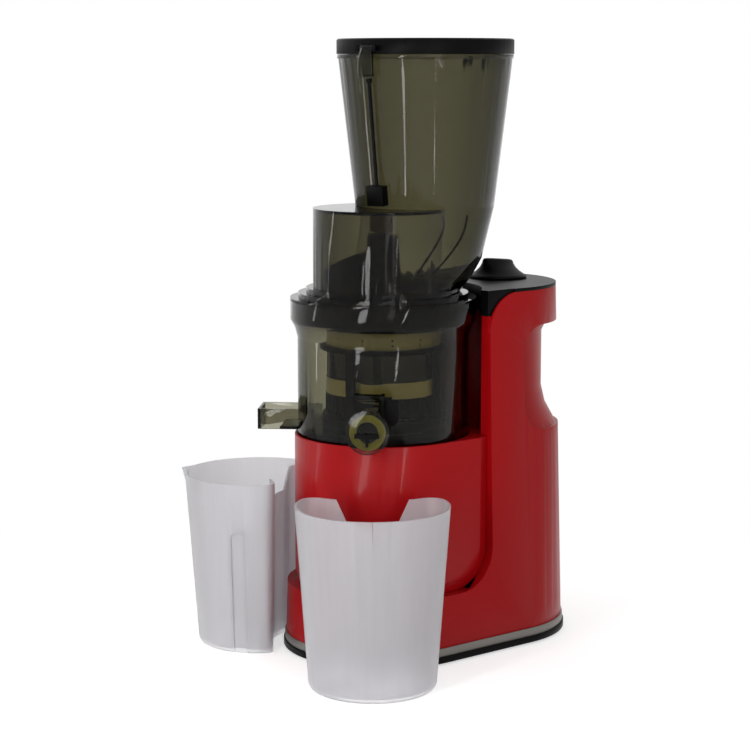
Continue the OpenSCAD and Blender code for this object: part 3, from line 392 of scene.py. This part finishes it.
def dress(item, material):
    """Gives an object this one material."""
    item.data.materials.clear()
    item.data.materials.append(material)


for name, item in nodes.items():
    dress(item, finishes[slot_of[name]])
for name in ("hopper", "hopper_base", "pulp_chute"):
    dress(nodes[name], finishes["smoke_deep"])
dress(nodes["strainer_mesh"], finishes["sieve_steel"])
print("slots in use:", len(set(slot_of.values())))

# %% [markdown]
# ## Edges
# No moulding has a knife edge: the mould's corners are rounded by a few tenths of a millimetre, and
# that thin round is what catches the light along every outline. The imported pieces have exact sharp
# edges, so each piece that the eye meets is copied, its loose triangles are merged, the flat areas
# are joined up again, and a Bevel modifier rounds what is still a real corner. Where short edges
# lie close together, the modifier narrows its round rather than let two rounds cross.

# %% Copy of a node's mesh
weld_distance = 0.001 * MM
flat_angle = radians(0.5)


def merged(name):
    """The node's mesh as a closed bmesh, with its flat areas in one face each."""
    shape = bmesh.new()
    shape.from_mesh(nodes[name].data)
    bmesh.ops.remove_doubles(shape, verts=shape.verts, dist=weld_distance)
    bmesh.ops.dissolve_limit(shape, angle_limit=flat_angle, verts=shape.verts, edges=shape.edges)
    return shape


# %% From a copy to a piece
body_of = {part: body for body, parts in frame["record"]["behaviour"]["bodies"].items() for part in parts}
level_normal = 0.9999  # faces that lie flatter than this are tops and bottoms, and are shaded flat


def place_piece(shape, title, node, material):
    """Turns a bmesh into an object that stands for the node and rides where it rides."""
    mesh = bpy.data.meshes.new(title)
    shape.normal_update()
    for face in shape.faces:
        face.smooth = abs(face.normal.z) < level_normal
    shape.to_mesh(mesh)
    shape.free()
    piece = add_object(title, mesh)
    dress(piece, material)
    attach(piece, body_of[node])
    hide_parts(node)
    print(title, "faces:", len(mesh.polygons))
    return piece


# %% Rounded edges
corner_angle = radians(35)
round_segments = 2


def round_edges(piece, width_mm):
    """Rounds the edges at which two faces turn by more than the corner angle."""
    edges = piece.modifiers.new("edges", "BEVEL")
    edges.width = width_mm * MM
    edges.segments = round_segments
    edges.limit_method = "ANGLE"
    edges.angle_limit = corner_angle
    edges.harden_normals = True


# %% Shells, lid, dome and cup with rounded edges
rounding_mm = dict(front_shell=0.8, rear_shell=0.8, column_cap=0.5, base_plate=0.6, trim_band=0.4,
                   hopper_lid=0.9, hopper=0.5, hopper_base=0.9, pulp_chute=0.5, rod_bracket=0.4,
                   pulp_cup=0.5)
for name, width_mm in rounding_mm.items():
    piece = place_piece(merged(name), name + "_rounded", name, nodes[name].data.materials[0])
    round_edges(piece, width_mm)

# %% [markdown]
# ## Bowl
# The bowl is clear and smoky, so its wall must stay thin everywhere, or the thick places turn black.
# Under the collar a real moulding follows the flare with an even wall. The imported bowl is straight
# inside, so its copy gets a loop of edges where the flare starts, and the ledge above is widened.

# %% Bowl with an even wall
cut_margin = 0.0001 * MM


def loop_at(shape, height):
    """Cuts a ring of edges into every wall at this height, and keeps both sides."""
    everything = shape.verts[:] + shape.edges[:] + shape.faces[:]
    bmesh.ops.bisect_plane(shape, geom=everything, dist=cut_margin, plane_co=(0, 0, height),
                           plane_no=(0, 0, 1))


flare_start = 227.5 * MM
ledge_height = 240 * MM
ledge_inside = 59.2 * MM
ledge_widened = 61.4 * MM
height_margin = 0.02 * MM
radius_margin = 0.2 * MM

bowl = merged("juice_bowl")
loop_at(bowl, flare_start)
ledge = [vert for vert in bowl.verts
         if abs(vert.co.z - ledge_height) < height_margin
         and abs(vert.co.xy.length - ledge_inside) < radius_margin]
widening = ledge_widened / ledge_inside
bmesh.ops.scale(bowl, vec=(widening, widening, 1), verts=ledge)
print("points on the ledge:", len(ledge))
round_edges(place_piece(bowl, "bowl_even_wall", "juice_bowl", finishes["smoke_clear"]), 0.5)

# %% [markdown]
# ## Strainer frame
# Two amber bands hold the sieve. The collar above them and the narrow bars between them are seen dark
# against the sieve, so the frame is cut into zones by height and its faces get one of two finishes.

# %% Strainer frame in two finishes
frame_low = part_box("strainer_frame")[0][2]
lower_band_top = frame_low + 11.2 * MM
upper_band = (221.8 * MM, 235.8 * MM)

frame_shape = merged("strainer_frame")
for height in (lower_band_top, *upper_band):
    loop_at(frame_shape, height)
bands = place_piece(frame_shape, "strainer_bands", "strainer_frame", finishes["amber_clear"])
bands.data.materials.append(finishes["black_gloss"])
for face in bands.data.polygons:
    height = face.center.z
    face.material_index = int(lower_band_top < height < upper_band[0] or height > upper_band[1])
print("dark faces:", sum(face.material_index for face in bands.data.polygons))

# %% [markdown]
# ## Ribs of the feed channel
# Two narrow dark lines run down the slanted channel behind the dome. They are made as ribs inside its
# wall, and are given black, a painted shade: a clear rib looks dark only where it is seen edge on.
# Each rib is a round bead along a smooth curve: a curve with a bevel depth makes that bead, and it is
# made a mesh at once. The curve's points are given as height and distance to the right, seen along
# the camera's direction, and lie just inside the wall on the camera's side. The channel is round at
# every height and its centre moves back on the way up, so the wall is found from that centre.

# %% A point on the channel's wall
channel_centres = [(262, 8.5), (270.5, 17.5), (283, 27), (320, 38.8)]  # height and distance back, in mm
channel_radius = 50.3 * MM
channel_wall = 2.5 * MM
rib_offset = 0.5 * MM
rib_distance = channel_radius - channel_wall - rib_offset
camera_right = Vector((cos(camera_azimuth), sin(camera_azimuth)))
camera_side = Vector((sin(camera_azimuth), -cos(camera_azimuth)))


def channel_back(height_mm):
    """How far back the channel's centre lies at this height, in mm."""
    for (low, near), (high, far) in zip(channel_centres, channel_centres[1:]):
        if height_mm <= high:
            return near + (far - near) * max(height_mm - low, 0) / (high - low)
    return channel_centres[-1][1]


def wall_point(right_mm, height_mm):
    """The point just inside the wall, on the camera's side, this far to the right of the bowl's axis."""
    centre = Vector((0, channel_back(height_mm) * MM))
    aside = right_mm * MM - centre.dot(camera_right)
    towards = (rib_distance ** 2 - aside ** 2) ** 0.5
    return centre + camera_right * aside + camera_side * towards


print("channel's centre at its top, mm back:", channel_back(channel_centres[-1][0]))

# %% Channel ribs
rib_radius = 0.75 * MM
rib_rings = 2
rib_order = 3


def channel_rib(title, path_mm):
    """A bead along the wall through points given as distance to the right and height."""
    line = bpy.data.curves.new(title, "CURVE")
    line.dimensions = "3D"
    line.bevel_depth = rib_radius
    line.bevel_resolution = rib_rings
    line.use_fill_caps = True
    spline = line.splines.new("NURBS")
    spline.points.add(len(path_mm) - 1)
    for point, (right_mm, height_mm) in zip(spline.points, path_mm):
        spot = wall_point(right_mm, height_mm)
        point.co = (spot.x, spot.y, height_mm * MM, 1)
    spline.use_endpoint_u = True
    spline.order_u = rib_order
    holder = add_object(title, line)
    mesh = bpy.data.meshes.new_from_object(holder.evaluated_get(bpy.context.evaluated_depsgraph_get()))
    bpy.data.objects.remove(holder)
    rib = add_object(title, mesh)
    # painted shade: the ribs are clear like the channel and look dark only seen edge on, so they get
    # black
    dress(rib, finishes["black_gloss"])
    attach(rib, "hopper_set")
    print(title, "faces:", len(mesh.polygons))


channel_rib("channel_rib_front", [(40, 315.5), (43, 311), (40, 301), (33, 289), (24, 276)])
channel_rib("channel_rib_back", [(59, 315.5), (58, 306), (52, 295), (44, 285), (33, 274)])

# %% [markdown]
# ## Latch of the lid
# The latch is moulded in the same smoky plastic as the hopper, so only its edges look dark.

# %% Latch
latch = place_piece(merged("lid_latch"), "latch_rounded", "lid_latch", finishes["smoke_deep"])
round_edges(latch, 0.5)

# %% [markdown]
# ## Spout cap
# The cap is a thin clear flap, lighter than the bowl, so that its lime ring shines through.

# %% Spout cap
cap = place_piece(merged("spout_cap"), "spout_cap_rounded", "spout_cap", finishes["smoke_light"])
round_edges(cap, 0.5)

# %% [markdown]
# ## Knob
# The knob is one flowing form: a flat foot, a hollow slope and a grip bar that the fingers take from
# both sides. A profile spun into a round body gives foot and slope. Squeezing that body more and more
# towards the top turns the round into the bar, and tipping the top gives the bar its slant.

# %% Knob
knob_centre = Vector((0, 111, 262.8)) * MM
knob_profile = [(21.5, 0), (21.5, 1.4), (21.1, 2.0), (19.2, 3.0), (16.6, 5.2), (14.6, 8.2), (13.4, 11.4),
                (12.9, 13.6), (12.0, 14.8), (9.5, 15.2), (5, 15.3), (0, 15.3)]  # radius and height, in mm
knob_height = 15.2 * MM
foot_height = 2.5 * MM
knob_steps = 72
bar_narrowing = 0.58
bar_lengthening = 0.12
bar_lowering = 1.1 * MM
bar_slant = 0.09

knob = bmesh.new()
outline = [knob.verts.new((radius * MM, 0, height * MM)) for radius, height in knob_profile]
for start, end in zip(outline, outline[1:]):
    knob.edges.new((start, end))
bmesh.ops.spin(knob, geom=knob.verts[:] + knob.edges[:], axis=(0, 0, 1), cent=(0, 0, 0), dvec=(0, 0, 0),
               angle=2 * pi, steps=knob_steps, use_merge=True)
bmesh.ops.remove_doubles(knob, verts=knob.verts, dist=weld_distance)
bmesh.ops.holes_fill(knob, edges=[edge for edge in knob.edges if edge.is_boundary])
for vert in knob.verts:
    share = min(max((vert.co.z - foot_height) / (knob_height - foot_height), 0), 1)
    rise = share * share * (3 - 2 * share)
    vert.co.x *= 1 - bar_narrowing * rise
    vert.co.y *= 1 + bar_lengthening * rise
    vert.co.z -= rise * (bar_lowering + bar_slant * vert.co.y)
bmesh.ops.translate(knob, vec=knob_centre, verts=knob.verts)
bmesh.ops.recalc_face_normals(knob, faces=knob.faces)
place_piece(knob, "knob_grip", "control_knob", finishes["black_moulded"])

# %% [markdown]
# ## Juice cup
# The two cups are mouldings of one kind, but this one's rim runs round its front without a pouring
# lip. The copy's few points that stand out beyond the round front are drawn back onto it.

# %% Juice cup with a plain rim
cup_turn = radians(47)
cup_distance = 105 * MM
rim_outside = 53 * MM
rim_inside = 51.2 * MM
rim_margin = 0.4 * MM
lip_outside = 56.6 * MM  # the lip's outer points lie further out than this, its inner ones don't

cup_centre = Vector((cup_distance * sin(cup_turn), -cup_distance * cos(cup_turn)))
cup = merged("juice_cup")
lip = [vert for vert in cup.verts if (vert.co.xy - cup_centre).length > rim_outside + rim_margin]
for vert in lip:
    reach = vert.co.xy - cup_centre
    radius = rim_outside if reach.length > lip_outside else rim_inside
    vert.co.x, vert.co.y = cup_centre + reach * (radius / reach.length)
print("points drawn back:", len(lip))
round_edges(place_piece(cup, "juice_cup_rounded", "juice_cup", finishes["frosted_white"]), 0.5)

# %% [markdown]
# ## Floor, backdrop and lamps
# A white floor and a white world. Close to the object the floor is a real surface that takes a
# soft shadow. Further out it turns into plain white, so that no horizon shows. The light on the
# object comes from a softer world, so that its colours keep their depth. Rays from the camera, and
# those that a glossy or clear surface sends on, see the full white instead.

# %% White for what the camera, gloss and glass see
ambient = 0.55
white = 1.0


def white_for_camera(tree, surface, background):
    """Lets camera, glossy and transmission rays see the background, and other rays the surface."""
    path = tree.nodes.new("ShaderNodeLightPath")
    seen = path.outputs["Is Camera Ray"]
    for ray in ("Is Glossy Ray", "Is Transmission Ray"):
        either = tree.nodes.new("ShaderNodeMath")
        either.operation = "MAXIMUM"
        tree.links.new(seen, either.inputs[0])
        tree.links.new(path.outputs[ray], either.inputs[1])
        seen = either.outputs["Value"]
    mix = tree.nodes.new("ShaderNodeMixShader")
    tree.links.new(seen, mix.inputs["Fac"])
    tree.links.new(surface, mix.inputs[1])
    tree.links.new(background, mix.inputs[2])
    return mix.outputs["Shader"]


world = bpy.data.worlds.new("studio")
world.use_nodes = True
bpy.context.scene.world = world
tree = world.node_tree
soft = tree.nodes["Background"]
bright = tree.nodes.new("ShaderNodeBackground")
for shade, strength in ((soft, ambient), (bright, white)):
    shade.inputs["Color"].default_value = (1, 1, 1, 1)
    shade.inputs["Strength"].default_value = strength
seen = white_for_camera(tree, soft.outputs["Background"], bright.outputs["Background"])
tree.links.new(seen, tree.nodes["World Output"].inputs["Surface"])
print("world strengths:", ambient, white)

# %% Floor
floor_radius = 6
floor_sides = 64

floor_mesh = bpy.data.meshes.new("floor")
shape = bmesh.new()
bmesh.ops.create_circle(shape, cap_ends=True, segments=floor_sides, radius=floor_radius)
shape.to_mesh(floor_mesh)
shape.free()
floor = add_object("floor", floor_mesh)
print("floor across, in metres:", 2 * floor_radius)

# %% [markdown]
# The floor's paint is a pale surface with a little glow, which takes the object's shadow. With the
# distance from the middle it blends into a plain white glow that takes none.

# %% Paint of the floor
fade_start = 0.22
fade_end = 0.5

floor_paint = new_material("floor_paint", base_color=(0.8, 0.8, 0.8, 1), roughness=0.7,
                           specular_ior_level=0.0)
tree = floor_paint.node_tree
shader = tree.nodes["Principled BSDF"]
glow = tree.nodes.new("ShaderNodeEmission")
glow.inputs["Strength"].default_value = ambient
near = tree.nodes.new("ShaderNodeAddShader")
away = tree.nodes.new("ShaderNodeEmission")
away.inputs["Strength"].default_value = white
place = tree.nodes.new("ShaderNodeTexCoord")
reach = tree.nodes.new("ShaderNodeVectorMath")
reach.operation = "LENGTH"
fade = tree.nodes.new("ShaderNodeMapRange")
fade.interpolation_type = "SMOOTHSTEP"
fade.inputs["From Min"].default_value = fade_start
fade.inputs["From Max"].default_value = fade_end
blend = tree.nodes.new("ShaderNodeMixShader")
tree.links.new(place.outputs["Object"], reach.inputs[0])
tree.links.new(reach.outputs["Value"], fade.inputs["Value"])
tree.links.new(fade.outputs["Result"], blend.inputs["Fac"])
tree.links.new(shader.outputs["BSDF"], near.inputs[0])
tree.links.new(glow.outputs["Emission"], near.inputs[1])
tree.links.new(near.outputs["Shader"], blend.inputs[1])
tree.links.new(away.outputs["Emission"], blend.inputs[2])
seen = white_for_camera(tree, shader.outputs["BSDF"], blend.outputs["Shader"])
tree.links.new(seen, tree.nodes["Material Output"].inputs["Surface"])
dress(floor, floor_paint)
print("the floor is plain white from", fade_end, "m on")

# %% [markdown]
# Clear and glossy cylinders show a lamp as an upright streak, so three of the lamps are tall and
# narrow strips that stand close by, from the floor to a little above the lid. A longer strip would
# be mirrored in the dome's flat roof and turn it white. A weak, taller lamp fills the front, and a
# wide box above and behind lifts the edges.

# %% Lamps
def softbox(name, azimuth, low, high, distance, width, radiance):
    """An upright lamp from low to high that faces the object. Its power follows from its size."""
    lamp = bpy.data.lights.new(name, "AREA")
    lamp.shape = "RECTANGLE"
    lamp.size = width
    lamp.size_y = high - low
    lamp.energy = radiance * pi * width * (high - low)
    item = add_object(name, lamp)
    turn = camera_azimuth + radians(azimuth)
    item.location = Vector((sin(turn) * distance, -cos(turn) * distance, (low + high) / 2))
    item.rotation_euler = (pi / 2, 0, turn)
    item.visible_camera = False
    item.visible_transmission = False
    print(name, "watts:", round(lamp.energy, 2))


softbox("key_strip", azimuth=-29, low=0.01, high=0.52, distance=0.75, width=0.1, radiance=13)
softbox("thin_strip", azimuth=19, low=0.01, high=0.52, distance=0.75, width=0.022, radiance=20)
softbox("fill", azimuth=3, low=0.01, high=1.2, distance=1.6, width=0.3, radiance=1.6)
softbox("left_strip", azimuth=-96, low=0.01, high=0.5, distance=0.75, width=0.045, radiance=7)
softbox("back_box", azimuth=180, low=0.7, high=1.6, distance=1.5, width=0.9, radiance=1.0)
bpy.context.scene.view_settings.view_transform = "Standard"
